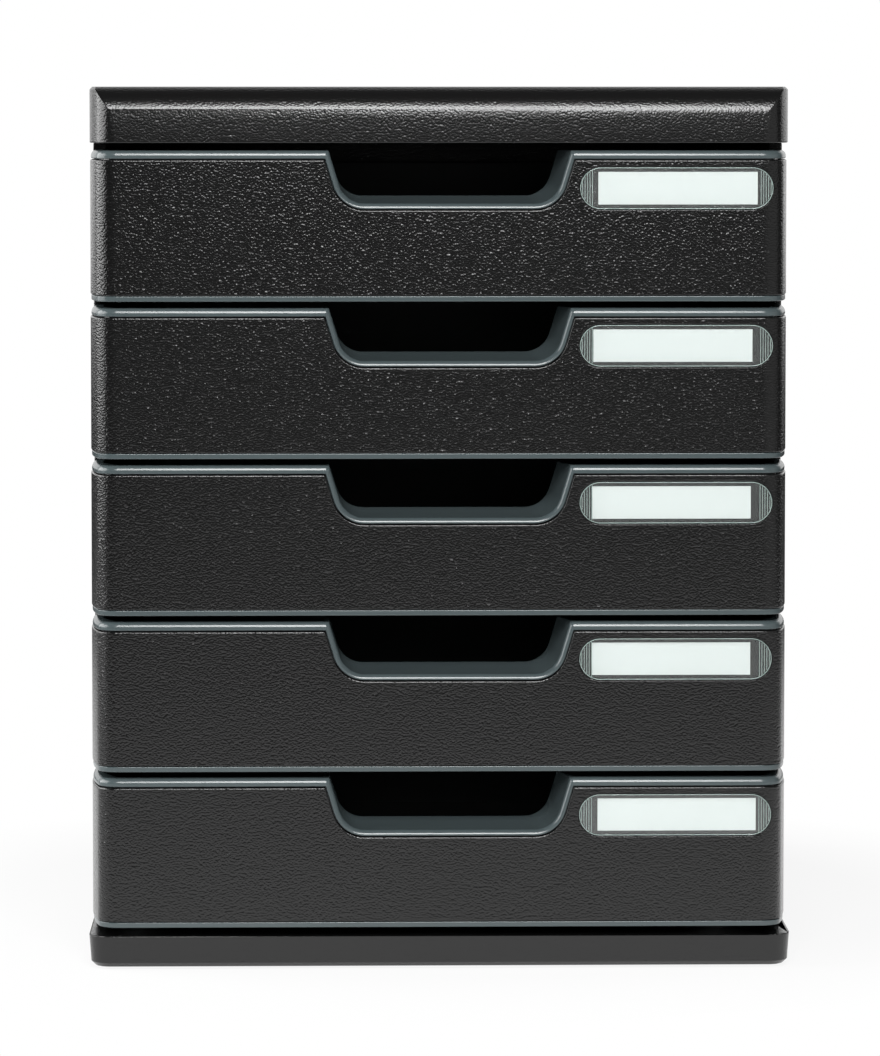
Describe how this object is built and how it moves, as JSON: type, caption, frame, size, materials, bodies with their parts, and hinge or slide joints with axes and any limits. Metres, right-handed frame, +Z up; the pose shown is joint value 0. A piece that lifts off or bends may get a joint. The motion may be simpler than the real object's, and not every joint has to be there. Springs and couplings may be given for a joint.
{
  "type": "desktop drawer unit",
  "caption": "Free-standing desktop drawer unit: a casing with drawers that slide out by hand, each with a scooped pull and a label holder.",
  "frame": {"origin": "on the desk, under the middle of the unit", "axes": "+Z up, +Y from the drawer fronts to the back, +X to the right seen from the front"},
  "size_m": [0.256, 0.315, 0.321],
  "materials": {
    "black_grained_plastic": "moulded polystyrene with a fine leather grain",
    "slate_plastic": "smooth satin moulded polystyrene",
    "clear_plastic": "clear polished polystyrene",
    "label_paper": "smooth card",
    "soft_foot": "matt moulded"
  },
  "bodies": {
    "housing": {"base": "black_grained_plastic", "top_cover": "black_grained_plastic", "left_side_panel": "black_grained_plastic", "right_side_panel": "black_grained_plastic", "back_panel": "black_grained_plastic", "foot_front_left": "soft_foot", "foot_front_right": "soft_foot", "foot_back_left": "soft_foot", "foot_back_right": "soft_foot"},
    "drawer_1": {"drawer_tray_1": "slate_plastic", "fascia_1": "black_grained_plastic", "label_window_1": "clear_plastic", "label_card_1": "label_paper"},
    "drawer_2": {"drawer_tray_2": "slate_plastic", "fascia_2": "black_grained_plastic", "label_window_2": "clear_plastic", "label_card_2": "label_paper"},
    "drawer_3": {"drawer_tray_3": "slate_plastic", "fascia_3": "black_grained_plastic", "label_window_3": "clear_plastic", "label_card_3": "label_paper"},
    "drawer_4": {"drawer_tray_4": "slate_plastic", "fascia_4": "black_grained_plastic", "label_window_4": "clear_plastic", "label_card_4": "label_paper"},
    "drawer_5": {"drawer_tray_5": "slate_plastic", "fascia_5": "black_grained_plastic", "label_window_5": "clear_plastic", "label_card_5": "label_paper"}
  },
  "joints": [
    {"name": "drawer_1_slide", "type": "slide", "parent": "housing", "child": "drawer_1", "axis": [0, -1, 0], "range_m": [0, 0.23]},
    {"name": "drawer_2_slide", "type": "slide", "parent": "housing", "child": "drawer_2", "axis": [0, -1, 0], "range_m": [0, 0.23]},
    {"name": "drawer_3_slide", "type": "slide", "parent": "housing", "child": "drawer_3", "axis": [0, -1, 0], "range_m": [0, 0.23]},
    {"name": "drawer_4_slide", "type": "slide", "parent": "housing", "child": "drawer_4", "axis": [0, -1, 0], "range_m": [0, 0.23]},
    {"name": "drawer_5_slide", "type": "slide", "parent": "housing", "child": "drawer_5", "axis": [0, -1, 0], "range_m": [0, 0.23]}
  ]
}
